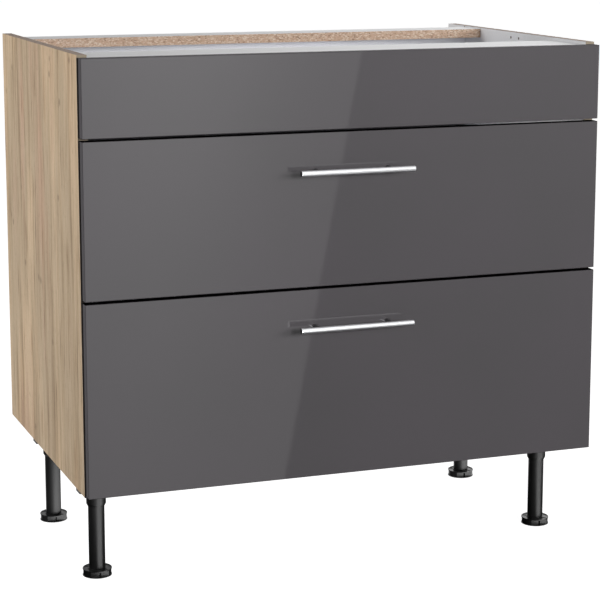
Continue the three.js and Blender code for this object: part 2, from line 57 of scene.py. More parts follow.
camera = bpy.data.objects.new("camera", bpy.data.cameras.new("camera"))
bpy.context.scene.collection.objects.link(camera)
bpy.context.scene.camera = camera
camera.location = CAMERA_PLACE
camera.rotation_euler = (math.pi / 2 - CAMERA_TILT, 0, -CAMERA_TURN)
camera.data.sensor_width = 36
camera.data.lens = LENS
camera.data.shift_y = LENS_SHIFT
bpy.context.scene.view_settings.view_transform = "Standard"


# ---------------------------------------------------------------------------------------------
# Studio
# A sheet of white paper on the floor, wide soft lamps at eye level in front and on the left, a
# slim one in the open top, and pale walls. The gloss fronts see a tall soft window in front of the
# cabinet: its slanting edge is the line across the fronts.
# ---------------------------------------------------------------------------------------------
def paint(code):
    """An sRGB hex colour as the linear colour that a shader takes."""
    parts = [int(code[i : i + 2], 16) / 255 for i in (1, 3, 5)]
    return (*(c / 12.92 if c <= 0.04045 else ((c + 0.055) / 1.055) ** 2.4 for c in parts), 1)


def add_node(tree, kind, sockets=None, stops=None, **settings):
    """Adds a node. Sockets takes values or links by name or number, and stops a ramp's colours."""
    made = tree.nodes.new(kind)
    for name, value in settings.items():
        setattr(made, name, value)
    for name, value in (sockets or {}).items():
        if isinstance(value, bpy.types.NodeSocket):
            tree.links.new(value, made.inputs[name])
        else:
            made.inputs[name].default_value = value
    for i, (place, code) in enumerate(stops or ()):
        ramp = made.color_ramp.elements
        stop = ramp[i] if i < 2 else ramp.new(place)
        stop.position = place
        stop.color = paint(code)
    return made


def new_material(name):
    """An empty material, its node tree and its output node."""
    material = bpy.data.materials.new(name)
    material.use_nodes = True
    material.node_tree.nodes.clear()
    return material, material.node_tree, add_node(material.node_tree, "ShaderNodeOutputMaterial")


# White paper: in the lamps' light it is a plain pale sheet, and the camera sees it near white
PAPER_HALF = 30.0
PAPER_DEPTH = 0.0002  # under the feet
PAPER_LIFT = 0.92  # what the camera sees of it on top of the lamps' light

floor_shape = bmesh.new()
bmesh.ops.create_grid(floor_shape, x_segments=1, y_segments=1, size=PAPER_HALF)
bmesh.ops.translate(floor_shape, verts=floor_shape.verts, vec=(0, 0, -PAPER_DEPTH))
floor_mesh = bpy.data.meshes.new("paper_floor")
floor_shape.to_mesh(floor_mesh)
floor_shape.free()
floor = bpy.data.objects.new("paper_floor", floor_mesh)
bpy.context.scene.collection.objects.link(floor)
floor.visible_glossy = False  # mirrors see the studio's ground below instead

paper, tree, out = new_material("white_paper")
seen = add_node(tree, "ShaderNodeLightPath")
lift = add_node(
    tree, "ShaderNodeMath", {0: seen.outputs["Is Camera Ray"], 1: PAPER_LIFT}, operation="MULTIPLY"
)
glow = add_node(tree, "ShaderNodeEmission", {"Strength": lift.outputs[0]})
sheet = add_node(tree, "ShaderNodeBsdfDiffuse", {"Color": paint("#b9b9b9")})
both = add_node(tree, "ShaderNodeAddShader", {0: sheet.outputs[0], 1: glow.outputs[0]})
tree.links.new(both.outputs[0], out.inputs["Surface"])
floor_mesh.materials.append(paper)


def add_lamp(name, place, aim, width, height, watts, code="#ffffff"):
    """A rectangular soft lamp at a place, facing a point."""
    lamp = bpy.data.objects.new(name, bpy.data.lights.new(name, "AREA"))
    bpy.context.scene.collection.objects.link(lamp)
    lamp.data.shape = "RECTANGLE"
    lamp.data.size = width
    lamp.data.size_y = height
    lamp.data.energy = watts
    lamp.data.color = paint(code)[:3]
    lamp.location = place
    lamp.rotation_euler = (Vector(aim) - Vector(place)).to_track_quat("-Z", "Y").to_euler()
    lamp.visible_glossy = False  # mirrors see the studio's walls below instead
    return lamp


def light_only(source, name, lit):
    """Lets a lamp or a glowing card light nothing but the named objects."""
    source.light_linking.receiver_collection = bpy.data.collections.new(name)
    for piece in lit:
        source.light_linking.receiver_collection.objects.link(piece)


add_lamp("key_lamp", (3.0, -4.6, 1.6), (0, 0, 0.6), 3.0, 1.1, 150)
add_lamp("fill_lamp", (0.7, -5.2, 1.6), (0, 0, 0.6), 1.2, 1.1, 130)
add_lamp("side_lamp", (-4.2, 1.0, 1.4), (0, 0, 0.5), 2.0, 2.0, 120)
# A slim strip hung in the open top, so that the back panel isn't lost in the rear rail's shade
opening_lamp = add_lamp(
    "opening_lamp", (0.05, -0.06, 0.80), (0.05, 0.30, 0.81), 0.46, 0.03, 0.30, "#f6f6ff"
)
light_only(
    opening_lamp,
    "lit_in_the_opening",
    [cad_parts[name] for name in ("back_panel", "side_panel_left", "side_panel_right")],
)

# The walls of the studio, by the direction in which a ray leaves. A mirror-like surface sees them
# bright above the horizon and dark below it; a matt one sees their even average.
WINDOW_EDGE_TOP = (21.9, -4.2)  # two points of the window's slanting edge: degrees to the right
WINDOW_EDGE_BOTTOM = (19.7, -16.4)  # of straight ahead of the fronts, and degrees up
WINDOW_GLARE = 3.0  # its brighter pane, above the height that the fronts see
WORLD_GREY = 0.8  # the strengths here are for walls of this grey; the camera sees plain white
AMBIENT_REAR = 0.42  # even light for matt surfaces, from the half of the studio behind the cabinet
AMBIENT_FRONT = 0.13  # and from the half in front, which the lamps light

# Slopes of light. Each follows X, Y or Z of the direction, or how far that lies inside the
# window's edge, and goes from its first strength to its second between two places.
SLOPES = {
    "above_ground": ("Z", -0.26, 0.12, 0.03, 1.0),
    "right_dimming": ("X", 0.55, 0.12, 0.0, 0.35),
    "left_dimming": ("X", -0.35, 0.12, 0.25, 1.0),
    "front_half": ("Y", 0.2, 0.6, 1.0, 0.0),
    "ground": ("Z", -0.35, -0.75, 0.0, 0.85),
    "low_behind": ("Y", 0.75, 0.95, 0.0, 0.8),
    "below_horizon": ("Z", 0.0, -0.08, 0.0, 1.0),
    "left_of_rear": ("X", 0.22, 0.05, 0.0, 1.0),
    "pane": ("inside", -0.0005, 0.0005, 0.0, 0.76),
    "spread": ("inside", 0.0, 0.09, 0.0, 1.0),
    "spread_end": ("inside", 0.10, 0.24, 1.0, 0.0),
    "rise": ("Z", -0.30, -0.06, 0.15, 1.15),
    "glare": ("Z", -0.04, 0.08, 0.0, WINDOW_GLARE),
    "glare_end": ("Z", 0.5, 0.7, 1.0, 0.0),
    "window_end": ("inside", 0.16, 0.34, 1.0, 0.0),
    "ahead": ("Y", -0.3, 0.0, 1.0, 0.0),
    "rear_wall": ("Y", 0.6, 0.8, 0.0, 1.0),
    "rear_right": ("X", 0.22, 0.47, 0.15, 1.1),
    "above_horizon": ("Z", -0.02, 0.06, 0.0, 1.0),
    "even": ("Y", -0.1, 0.4, AMBIENT_FRONT, AMBIENT_REAR),
}
STRAIGHT_SLOPES = ("pane", "rise")  # the others start and end softly

# How they are put together, in this order: a result, a sum or product, and the two it is made of
PUT_TOGETHER = (
    ("walls", "SUBTRACT", "above_ground", "right_dimming"),
    ("walls", "MULTIPLY", "walls", "left_dimming"),
    ("walls", "MAXIMUM", "front_half", "walls"),
    ("walls", "MINIMUM", "walls", "above_ground"),
    ("low_behind", "MULTIPLY", "low_behind", "below_horizon"),
    ("low_behind", "MULTIPLY", "low_behind", "left_of_rear"),
    ("ground", "ADD", "ground", "low_behind"),
    ("spread", "MULTIPLY", "spread", "spread_end"),
    ("glare", "MULTIPLY", "glare", "glare_end"),
    ("rise", "ADD", "rise", "glare"),
    ("spread", "MULTIPLY", "spread", "rise"),
    ("window", "ADD", "pane", "spread"),
    ("window", "MULTIPLY", "window", "window_end"),
    ("window", "MULTIPLY", "window", "ahead"),
    ("rear_wall", "MULTIPLY", "rear_wall", "rear_right"),
    ("rear_wall", "MULTIPLY", "rear_wall", "above_horizon"),
    ("walls", "ADD", "walls", "ground"),
    ("window", "ADD", "window", "rear_wall"),
    ("mirrored", "ADD", "walls", "window"),
)


def towards(degrees_right, degrees_up):
    """The direction that far to the right of -Y, and that far up."""
    a, e = math.radians(degrees_right), math.radians(degrees_up)
    return Vector((math.sin(a) * math.cos(e), -math.cos(a) * math.cos(e), math.sin(e)))


edge_normal = towards(*WINDOW_EDGE_BOTTOM).cross(towards(*WINDOW_EDGE_TOP)).normalized()
if edge_normal.x > 0:
    edge_normal.negate()

studio = bpy.data.worlds.new("studio")
bpy.context.scene.world = studio
studio.use_nodes = True
tree = studio.node_tree
tree.nodes.clear()
out = add_node(tree, "ShaderNodeOutputWorld")
seen = add_node(tree, "ShaderNodeLightPath")
way = add_node(tree, "ShaderNodeTexCoord").outputs["Generated"]
compass = add_node(tree, "ShaderNodeSeparateXYZ", {0: way})
inside = add_node(tree, "ShaderNodeVectorMath", {0: way, 1: edge_normal}, operation="DOT_PRODUCT")
places = {axis: compass.outputs[axis] for axis in "XYZ"}
places["inside"] = inside.outputs["Value"]

light = {}
for name, (follows, start, end, first, second) in SLOPES.items():
    light[name] = add_node(
        tree,
        "ShaderNodeMapRange",
        {
            "Value": places[follows],
            "From Min": start,
            "From Max": end,
            "To Min": first,
            "To Max": second,
        },
        interpolation_type="LINEAR" if name in STRAIGHT_SLOPES else "SMOOTHSTEP",
    ).outputs[0]
for name, operation, one, other in PUT_TOGETHER:
    light[name] = add_node(
        tree, "ShaderNodeMath", {0: light[one], 1: light[other]}, operation=operation
    ).outputs[0]

matt = add_node(
    tree,
    "ShaderNodeMix",
    {0: seen.outputs["Is Glossy Ray"], 2: light["even"], 3: light["mirrored"]},
    data_type="FLOAT",
)
shown = add_node(
    tree,
    "ShaderNodeMix",
    {0: seen.outputs["Is Camera Ray"], 2: matt.outputs[0], 3: 1 / WORLD_GREY},
    data_type="FLOAT",
)
background = add_node(
    tree,
    "ShaderNodeBackground",
    {"Color": (WORLD_GREY, WORLD_GREY, WORLD_GREY, 1), "Strength": shown.outputs[0]},
)
tree.links.new(background.outputs[0], out.inputs["Surface"])


# ---------------------------------------------------------------------------------------------
# Side boards
# Two upright boards of 16 mm chipboard that carry everything else. The outer face has an oak-look
# print with upright grain, the inner face is white melamine, the front edge is closed with a thin
# tape and the other edges are raw.
# ---------------------------------------------------------------------------------------------
TAPE_THICKNESS = 0.0023  # the tape's thickness, and the width of the outer face's front strip painted dark below the fronts as painted shade
TAPE_PAINTED_SHADE = "#2e2621"  # painted shade on the tape and that strip, where they lie in the gap's shade behind the fronts
TAPE_OPEN = "#958a79"  # above the fronts, and where the upper joint bares it
JOINT_MARGIN = 0.0001


def dress(node_name, material):
    """Gives a CAD node its material."""
    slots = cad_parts[node_name].data.materials
    slots.clear()
    slots.append(material)


def add_chips(tree, place):
    """Flakes of wood pressed flat, 1 to 4 mm wide: the colour of a raw chipboard edge."""
    flat = add_node(
        tree, "ShaderNodeMapping", {"Vector": place, "Scale": (1 / 0.0030, 1 / 0.0030, 1 / 0.0016)}
    )
    flake = add_node(
        tree, "ShaderNodeTexVoronoi", {"Vector": flat.outputs[0], "Scale": 1.0, "Randomness": 1.0}
    )
    tone = add_node(tree, "ShaderNodeSeparateColor", {0: flake.outputs["Color"]})
    return add_node(
        tree,
        "ShaderNodeValToRGB",
        {0: tone.outputs[0]},
        [
            (0.0, "#886f5d"),
            (0.10, "#af947f"),
            (0.4, "#c3a691"),
            (0.62, "#ba9e89"),
            (0.8, "#cdb6a3"),
            (1.0, "#d8c8b7"),
        ],
    ).outputs["Color"]


def add_speckled_white(tree, place, light_code, dark_code):
    """White melamine: a fine grain in the paper, 0.6 mm across, drawn twice that and faint."""
    fine = add_node(tree, "ShaderNodeMapping", {"Vector": place, "Scale": (1 / 0.0012,) * 3})
    grain = add_node(
        tree, "ShaderNodeTexNoise", {"Vector": fine.outputs[0], "Scale": 1.0, "Detail": 2.0}
    )
    return add_node(
        tree,
        "ShaderNodeValToRGB",
        {0: grain.outputs["Fac"]},
        [(0.35, dark_code), (0.65, light_code)],
    ).outputs["Color"]


# Matt oak-look melamine, printed and pressed: soft upright streaks of beige, green-grey and rose,
# thin darker lines, and short pores. The press leaves it matt with a faint grain to the touch.
oak, tree, out = new_material("oak_print_melamine")
place = add_node(tree, "ShaderNodeTexCoord").outputs["Object"]
# The grain sways by up to 12 mm
wander = add_node(
    tree, "ShaderNodeMapping", {"Vector": place, "Scale": (1 / 0.20, 1 / 0.20, 1 / 0.35)}
)
drift = add_node(
    tree, "ShaderNodeTexNoise", {"Vector": wander.outputs[0], "Scale": 1.0, "Detail": 2.0}
)
sway = add_node(
    tree, "ShaderNodeVectorMath", {0: drift.outputs["Color"], 3: 0.012}, operation="SCALE"
)
bent = add_node(tree, "ShaderNodeVectorMath", {0: place, 1: sway.outputs[0]}, operation="ADD")
grain_place = bent.outputs[0]
# Staves about 120 mm wide, each of its own tint
stave = add_node(
    tree, "ShaderNodeMapping", {"Vector": grain_place, "Scale": (1 / 0.12, 1 / 0.12, 1 / 1.0)}
)
staves = add_node(
    tree,
    "ShaderNodeTexNoise",
    {"Vector": stave.outputs[0], "Scale": 1.0, "Detail": 3.0, "Roughness": 0.5},
)
tint = add_node(
    tree,
    "ShaderNodeValToRGB",
    {0: staves.outputs["Fac"]},
    [
        (0.30, "#b0947e"),
        (0.40, "#c3a68b"),
        (0.47, "#cdb495"),
        (0.54, "#bea98d"),
        (0.60, "#b8a388"),
        (0.68, "#c5a88f"),
    ],
)
# Streaks 26 mm wide within them
streak = add_node(
    tree, "ShaderNodeMapping", {"Vector": grain_place, "Scale": (1 / 0.026, 1 / 0.026, 1 / 0.42)}
)
streaks = add_node(
    tree,
    "ShaderNodeTexNoise",
    {"Vector": streak.outputs[0], "Scale": 1.0, "Detail": 3.0, "Roughness": 0.6},
)
shade = add_node(
    tree,
    "ShaderNodeValToRGB",
    {0: streaks.outputs["Fac"]},
    [(0.28, "#c9c0b6"), (0.43, "#efebe5"), (0.57, "#ffffff"), (0.72, "#e6e0d8")],
)
printed = add_node(
    tree,
    "ShaderNodeMix",
    {0: 1.0, 6: tint.outputs["Color"], 7: shade.outputs["Color"]},
    data_type="RGBA",
    blend_type="MULTIPLY",
)
# Darker lines, 7 mm apart
line = add_node(
    tree, "ShaderNodeMapping", {"Vector": grain_place, "Scale": (1 / 0.0070, 1 / 0.0070, 1 / 0.13)}
)
lines = add_node(
    tree, "ShaderNodeTexNoise", {"Vector": line.outputs[0], "Scale": 1.0, "Detail": 2.0}
)
dark_lines = add_node(
    tree,
    "ShaderNodeValToRGB",
    {0: lines.outputs["Fac"]},
    [(0.25, "#80664f"), (0.33, "#d8cabb"), (0.41, "#ffffff")],
)
printed = add_node(
    tree,
    "ShaderNodeMix",
    {0: 0.8, 6: printed.outputs[2], 7: dark_lines.outputs["Color"]},
    data_type="RGBA",
    blend_type="MULTIPLY",
)
# A few small knots, in about one of eight cells of 55 mm
knot = add_node(tree, "ShaderNodeMapping", {"Vector": grain_place, "Scale": (1 / 0.055,) * 3})
knots = add_node(tree, "ShaderNodeTexVoronoi", {"Vector": knot.outputs[0], "Scale": 1.0})
rare = add_node(tree, "ShaderNodeSeparateColor", {0: knots.outputs["Color"]})
rare = add_node(tree, "ShaderNodeMath", {0: rare.outputs[0], 1: 0.87}, operation="GREATER_THAN")
spot = add_node(
    tree,
    "ShaderNodeMapRange",
    {
        "Value": knots.outputs["Distance"],
        "From Min": 0.04,
        "From Max": 0.16,
        "To Min": 0.6,
        "To Max": 0.0,
    },
    interpolation_type="SMOOTHSTEP",
)
spot = add_node(
    tree, "ShaderNodeMath", {0: spot.outputs[0], 1: rare.outputs[0]}, operation="MULTIPLY"
)
printed = add_node(
    tree,
    "ShaderNodeMix",
    {0: spot.outputs[0], 6: printed.outputs[2], 7: paint("#7d6650")},
    data_type="RGBA",
)
# Pores 0.9 mm wide and 16 mm long
pore = add_node(
    tree,
    "ShaderNodeMapping",
    {"Vector": grain_place, "Scale": (1 / 0.0009, 1 / 0.0009, 1 / 0.016)},
)
pores = add_node(
    tree, "ShaderNodeTexNoise", {"Vector": pore.outputs[0], "Scale": 1.0, "Detail": 1.0}
)
pricks = add_node(
    tree,
    "ShaderNodeValToRGB",
    {0: pores.outputs["Fac"]},
    [(0.30, "#9d8a78"), (0.36, "#ffffff")],
)
printed = add_node(
    tree,
    "ShaderNodeMix",
    {0: 0.55, 6: printed.outputs[2], 7: pricks.outputs["Color"]},
    data_type="RGBA",
    blend_type="MULTIPLY",
)
# Which face of the board this is: the outer one looks away from the cabinet's middle
normal = add_node(tree, "ShaderNodeNewGeometry").outputs["True Normal"]
facing = add_node(tree, "ShaderNodeSeparateXYZ", {0: normal}).outputs
across = add_node(tree, "ShaderNodeSeparateXYZ", {0: place}).outputs
outward = add_node(tree, "ShaderNodeMath", {0: facing["X"], 1: across["X"]}, operation="MULTIPLY")
inner = add_node(
    tree, "ShaderNodeMath", {0: outward.outputs[0], 1: -0.2}, operation="LESS_THAN"
).outputs[0]
outer = add_node(
    tree, "ShaderNodeMath", {0: outward.outputs[0], 1: 0.2}, operation="GREATER_THAN"
).outputs[0]
# The tape closes the front edge. Behind the fronts, the tape and a strip of the outer face at its
# front are painted near black: painted shade of the gap. The tape keeps its own colour at its top
# end and at the height of the upper joint.
board_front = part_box("side_panel_left")[0].y
fronts_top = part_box("fixed_front")[1].z
joint_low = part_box("drawer_front_upper")[1].z
joint_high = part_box("fixed_front")[0].z
forward = add_node(tree, "ShaderNodeMath", {0: facing["Y"], 1: -0.5}, operation="LESS_THAN")
at_front = add_node(
    tree, "ShaderNodeMath", {0: across["Y"], 1: board_front + TAPE_THICKNESS}, operation="LESS_THAN"
)
taped = add_node(
    tree, "ShaderNodeMath", {0: forward.outputs[0], 1: at_front.outputs[0]}, operation="MULTIPLY"
).outputs[0]
as_oak = add_node(tree, "ShaderNodeMath", {0: outer, 1: taped}, operation="MAXIMUM")
covered = add_node(
    tree, "ShaderNodeMath", {0: across["Z"], 1: fronts_top}, operation="LESS_THAN"
)
# Painted shade on the outer face's front strip, below the top of the fronts
border = add_node(tree, "ShaderNodeMath", {0: outer, 1: at_front.outputs[0]}, operation="MULTIPLY")
border = add_node(
    tree, "ShaderNodeMath", {0: border.outputs[0], 1: covered.outputs[0]}, operation="MULTIPLY"
)
bared = add_node(
    tree,
    "ShaderNodeMath",
    {
        0: across["Z"],
        1: (joint_low + joint_high) / 2,
        2: (joint_high - joint_low) / 2 + JOINT_MARGIN,
    },
    operation="COMPARE",
)
covered = add_node(
    tree, "ShaderNodeMath", {0: covered.outputs[0], 1: bared.outputs[0]}, operation="SUBTRACT"
)
# The tape in its own colour, and in painted shade behind the fronts
tape = add_node(
    tree,
    "ShaderNodeMix",
    {0: covered.outputs[0], 6: paint(TAPE_OPEN), 7: paint(TAPE_PAINTED_SHADE)},
    data_type="RGBA",
)
printed = add_node(
    tree,
    "ShaderNodeMix",
    {0: border.outputs[0], 6: printed.outputs[2], 7: paint(TAPE_PAINTED_SHADE)},
    data_type="RGBA",
)
front_and_side = add_node(
    tree,
    "ShaderNodeMix",
    {0: taped, 6: printed.outputs[2], 7: tape.outputs[2]},
    data_type="RGBA",
)
core = add_node(
    tree,
    "ShaderNodeMix",
    {0: 0.65, 6: add_chips(tree, place), 7: paint("#948b80")},
    data_type="RGBA",
    blend_type="MULTIPLY",
)
edges = add_node(
    tree,
    "ShaderNodeMix",
    {0: as_oak.outputs[0], 6: core.outputs[2], 7: front_and_side.outputs[2]},
    data_type="RGBA",
)
surface = add_node(
    tree,
    "ShaderNodeMix",
    {0: inner, 6: edges.outputs[2], 7: add_speckled_white(tree, place, "#ececed", "#e4e4e6")},
    data_type="RGBA",
)
relief = add_node(
    tree,
    "ShaderNodeBump",
    {"Height": pores.outputs["Fac"], "Strength": 0.12, "Distance": 0.0002},
)
skin = add_node(
    tree,
    "ShaderNodeBsdfPrincipled",
    {
        "Base Color": surface.outputs[2],
        "Roughness": 0.55,
        "Normal": relief.outputs[0],
        "IOR": 1.48,
    },
)
tree.links.new(skin.outputs[0], out.inputs["Surface"])

for side in ("left", "right"):
    dress(f"side_panel_{side}", oak)


# ---------------------------------------------------------------------------------------------
# Bottom panel, rails and back panel
# White melamine chipboard, 16 mm; the rear rail is cut from the same board and its front edge is
# left raw. The back is 3 mm hardboard, lacquered white inside and bare brown outside. It sits in
# grooves of the side boards, and the legs are screwed under the bottom panel.
# ---------------------------------------------------------------------------------------------
# White melamine: a satin paper face under resin. Its pearl is finer than the picture can show, so
# it is drawn 1.6 mm wide.
melamine, tree, out = new_material("white_melamine")
place = add_node(tree, "ShaderNodeTexCoord").outputs["Object"]
fine = add_node(tree, "ShaderNodeMapping", {"Vector": place, "Scale": (1 / 0.0016,) * 3})
pearl = add_node(
    tree, "ShaderNodeTexNoise", {"Vector": fine.outputs[0], "Scale": 1.0, "Detail": 2.0}
)
sheen = add_node(
    tree,
    "ShaderNodeMapRange",
    {
        "Value": pearl.outputs["Fac"],
        "From Min": 0.3,
        "From Max": 0.7,
        "To Min": 0.28,
        "To Max": 0.36,
    },
)
relief = add_node(
    tree, "ShaderNodeBump", {"Height": pearl.outputs["Fac"], "Strength": 0.08, "Distance": 0.0001}
)
skin = add_node(
    tree,
    "ShaderNodeBsdfPrincipled",
    {
        "Base Color": add_speckled_white(tree, place, "#ececed", "#e3e3e5"),
        "Roughness": sheen.outputs[0],
        "Normal": relief.outputs[0],
        "IOR": 1.5,
    },
)
tree.links.new(skin.outputs[0], out.inputs["Surface"])

# The same board with raw edges: white faces, and pressed flakes where the saw has cut it
raw_edged, tree, out = new_material("raw_edged_melamine")
place = add_node(tree, "ShaderNodeTexCoord").outputs["Object"]
normal = add_node(tree, "ShaderNodeNewGeometry").outputs["True Normal"]
facing = add_node(tree, "ShaderNodeSeparateXYZ", {0: normal})
flat_up = add_node(
    tree, "ShaderNodeMath", {0: facing.outputs["Z"]}, operation="ABSOLUTE"
).outputs[0]
faced = add_node(tree, "ShaderNodeMath", {0: flat_up, 1: 0.5}, operation="GREATER_THAN").outputs[0]
surface = add_node(
    tree,
    "ShaderNodeMix",
    {0: faced, 6: add_chips(tree, place), 7: add_speckled_white(tree, place, "#ececed", "#e3e3e5")},
    data_type="RGBA",
)
dull = add_node(
    tree,
    "ShaderNodeMapRange",
    {"Value": faced, "To Min": 0.85, "To Max": 0.32},
)
skin = add_node(
    tree,
    "ShaderNodeBsdfPrincipled",
    {"Base Color": surface.outputs[2], "Roughness": dull.outputs[0], "IOR": 1.5},
)
tree.links.new(skin.outputs[0], out.inputs["Surface"])

# Hardboard: wet-pressed fibre, with white lacquer on the inner face and the mark of the press's
# wire screen, 1.5 mm apart, on the brown one
hardboard, tree, out = new_material("white_faced_hardboard")
place = add_node(tree, "ShaderNodeTexCoord").outputs["Object"]
normal = add_node(tree, "ShaderNodeNewGeometry").outputs["True Normal"]
facing = add_node(tree, "ShaderNodeSeparateXYZ", {0: normal})
lacquered = add_node(
    tree, "ShaderNodeMath", {0: facing.outputs["Y"], 1: -0.5}, operation="LESS_THAN"
).outputs[0]
wire = add_node(tree, "ShaderNodeMapping", {"Vector": place, "Scale": (1 / 0.0015,) * 3})
screen = add_node(
    tree, "ShaderNodeTexVoronoi", {"Vector": wire.outputs[0], "Scale": 1.0, "Randomness": 0.15}
)
cloud = add_node(tree, "ShaderNodeMapping", {"Vector": place, "Scale": (1 / 0.014,) * 3})
fibres = add_node(
    tree, "ShaderNodeTexNoise", {"Vector": cloud.outputs[0], "Scale": 1.0, "Detail": 6.0}
)
brown = add_node(
    tree,
    "ShaderNodeValToRGB",
    {0: fibres.outputs["Fac"]},
    [(0.3, "#8f6f52"), (0.5, "#9a795a"), (0.7, "#a58464")],
)
surface = add_node(
    tree,
    "ShaderNodeMix",
    {
        0: lacquered,
        6: brown.outputs["Color"],
        7: add_speckled_white(tree, place, "#f0f0f3", "#e8e8ec"),
    },
    data_type="RGBA",
)
dull = add_node(tree, "ShaderNodeMapRange", {"Value": lacquered, "To Min": 0.8, "To Max": 0.45})
relief = add_node(
    tree,
    "ShaderNodeBump",
    {"Height": screen.outputs["Distance"], "Strength": 0.15, "Distance": 0.0003},
)
skin = add_node(
    tree,
    "ShaderNodeBsdfPrincipled",
    {
        "Base Color": surface.outputs[2],
        "Roughness": dull.outputs[0],
        "Normal": relief.outputs[0],
        "IOR": 1.48,
    },
)
tree.links.new(skin.outputs[0], out.inputs["Surface"])

dress("bottom_panel", melamine)
dress("front_rail", melamine)
dress("rear_rail", raw_edged)
dress("back_panel", hardboard)


# ---------------------------------------------------------------------------------------------
# Fronts
# Three 19 mm fibreboard panels with high-gloss anthracite foil on the face, white melamine at the
# back and satin plastic strip round the edges, eased to 1 mm. The top one is fixed with two angle
# brackets; the other two close the drawers.
# ---------------------------------------------------------------------------------------------
FRONT_EDGE_RADIUS = 0.001
FACE_GLOSS = 0.02  # roughness of the foil: the edge of the window stays sharp in it
# Painted shade: the edge band is painted near black where it looks up into a joint and along its
# rear border
JOINT_PAINTED_SHADE = "#0c0b0c"
JOINT_EDGES_BELOW = 0.80  # the upward edges under this height lie in the joints
REAR_BORDER = 0.0035  # width of the edges' border behind, painted dark as shade


def add_piece(shape, name, material, body, stands_for=(), sharp_angle=40):
    """Makes a bmesh into a smooth-shaded piece that rides on a body."""
    for face in shape.faces:
        face.smooth = True
    for edge in shape.edges:
        if len(edge.link_faces) == 2:
            edge.smooth = edge.calc_face_angle() < math.radians(sharp_angle)
    mesh = bpy.data.meshes.new(name)
    shape.to_mesh(mesh)
    shape.free()
    mesh.materials.append(material)
    piece = bpy.data.objects.new(name, mesh)
    bpy.context.scene.collection.objects.link(piece)
    even = piece.modifiers.new("even_normals", "WEIGHTED_NORMAL")
    even.keep_sharp = True
    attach(piece, body)
    if stands_for:
        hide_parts(*stands_for)
    return piece


def block_between(low, high):
    """A box between two corners, as a bmesh."""
    shape = bmesh.new()
    bmesh.ops.create_cube(shape, size=1)
    bmesh.ops.scale(shape, verts=shape.verts, vec=high - low)
    bmesh.ops.translate(shape, verts=shape.verts, vec=(low + high) / 2)
    return shape


def add_rod(shape, radius, start, end, segments, easing=0.0):
    """Adds a closed round rod between two points, its end edges eased."""
    axis = end - start
    turn = axis.to_track_quat("Z", "Y").to_matrix().to_4x4()
    made = bmesh.ops.create_cone(
        shape,
        cap_ends=True,
        segments=segments,
        radius1=radius,
        radius2=radius,
        depth=axis.length,
        matrix=Matrix.Translation((start + end) / 2) @ turn,
    )
    if easing:
        ends = {e for v in made["verts"] for e in v.link_edges if abs(e.calc_face_angle(0)) > 1}
        bmesh.ops.bevel(
            shape,
            geom=list(ends),
            offset=easing,
            segments=2,
            profile=0.5,
            affect="EDGES",
            material=-1,
        )


# High-gloss foil: a dark grey with a breath of violet, mirror-like, and over the fibreboard it
# lies with a very slight waviness, 8 to 10 mm from crest to crest. Its grey drifts by a shade over
# 250 mm.
gloss, tree, out = new_material("high_gloss_foil")
place = add_node(tree, "ShaderNodeTexCoord").outputs["Object"]
normal = add_node(tree, "ShaderNodeNewGeometry").outputs["True Normal"]
facing = add_node(tree, "ShaderNodeSeparateXYZ", {0: normal})
rear_face = add_node(
    tree, "ShaderNodeMath", {0: facing.outputs["Y"], 1: 0.9}, operation="GREATER_THAN"
).outputs[0]
swell = add_node(tree, "ShaderNodeMapping", {"Vector": place, "Scale": (1 / 0.009,) * 3})
waves = add_node(
    tree, "ShaderNodeTexNoise", {"Vector": swell.outputs[0], "Scale": 1.0, "Detail": 0.0}
)
cloud = add_node(tree, "ShaderNodeMapping", {"Vector": place, "Scale": (1 / 0.25,) * 3})
dye = add_node(
    tree, "ShaderNodeTexNoise", {"Vector": cloud.outputs[0], "Scale": 1.0, "Detail": 2.0}
)
grey = add_node(
    tree,
    "ShaderNodeValToRGB",
    {0: dye.outputs["Fac"]},
    [(0.3, "#4f4d4f"), (0.7, "#514e51")],
)
surface = add_node(
    tree,
    "ShaderNodeMix",
    {
        0: rear_face,
        6: grey.outputs["Color"],
        7: add_speckled_white(tree, place, "#e6e6e6", "#dedee0"),
    },
    data_type="RGBA",
)
satin = add_node(
    tree, "ShaderNodeMapRange", {"Value": rear_face, "To Min": FACE_GLOSS, "To Max": 0.4}
)
relief = add_node(
    tree, "ShaderNodeBump", {"Height": waves.outputs["Fac"], "Strength": 0.02, "Distance": 0.0001}
)
skin = add_node(
    tree,
    "ShaderNodeBsdfPrincipled",
    {
        "Base Color": surface.outputs[2],
        "Roughness": satin.outputs[0],
        "Normal": relief.outputs[0],
        "IOR": 1.5,
    },
)
tree.links.new(skin.outputs[0], out.inputs["Surface"])

# Satin edge band: the same grey in thin plastic strip, duller and darker than the face. On the
# edges that look up into a joint and along its rear border it is painted near black and without
# gloss: painted shade. Its grain is drawn 1 mm wide, coarser than it is, to show.
band, tree, out = new_material("satin_edge_band")
place = add_node(tree, "ShaderNodeTexCoord").outputs["Object"]
fine = add_node(tree, "ShaderNodeMapping", {"Vector": place, "Scale": (1 / 0.0010,) * 3})
grain = add_node(
    tree, "ShaderNodeTexNoise", {"Vector": fine.outputs[0], "Scale": 1.0, "Detail": 2.0}
)
tone = add_node(
    tree,
    "ShaderNodeValToRGB",
    {0: grain.outputs["Fac"]},
    [(0.3, "#464346"), (0.7, "#4b484b")],
)
normal = add_node(tree, "ShaderNodeNewGeometry").outputs["True Normal"]
facing = add_node(tree, "ShaderNodeSeparateXYZ", {0: normal})
along_edge = add_node(tree, "ShaderNodeSeparateXYZ", {0: place}).outputs
upward = add_node(
    tree, "ShaderNodeMath", {0: facing.outputs["Z"], 1: 0.5}, operation="GREATER_THAN"
)
